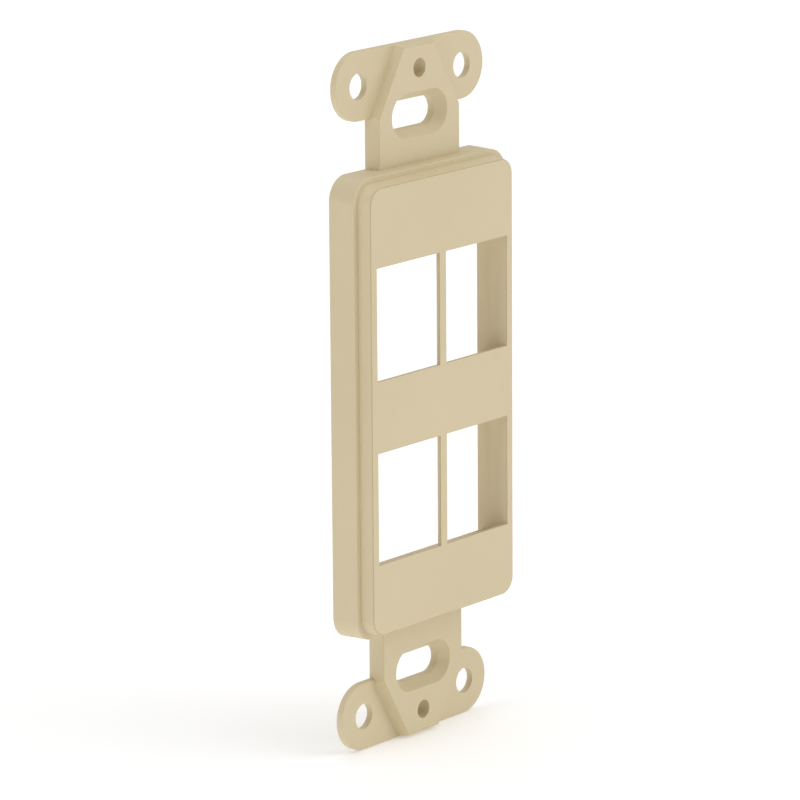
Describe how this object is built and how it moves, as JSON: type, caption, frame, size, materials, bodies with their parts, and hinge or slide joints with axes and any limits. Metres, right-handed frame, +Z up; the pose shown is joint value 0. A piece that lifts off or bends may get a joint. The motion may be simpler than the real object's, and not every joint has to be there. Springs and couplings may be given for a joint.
{
  "type": "keystone faceplate",
  "caption": "Moulded decorator-style insert strap with keystone openings, countersunk mounting slots and screw-hole ears at both ends.",
  "frame": {"origin": "centre of the four ear holes, in the plane on which the backs of the ears and straps seat", "axes": "+Z up along the strap, +X to the right seen from the front, -Y out of the visible face"},
  "size_m": [0.0356, 0.0089, 0.1042],
  "materials": {
    "ivory_plastic": "satin moulded ivory plastic"
  },
  "bodies": {
    "root": {"keystone_faceplate": "ivory_plastic"}
  },
  "joints": []
}
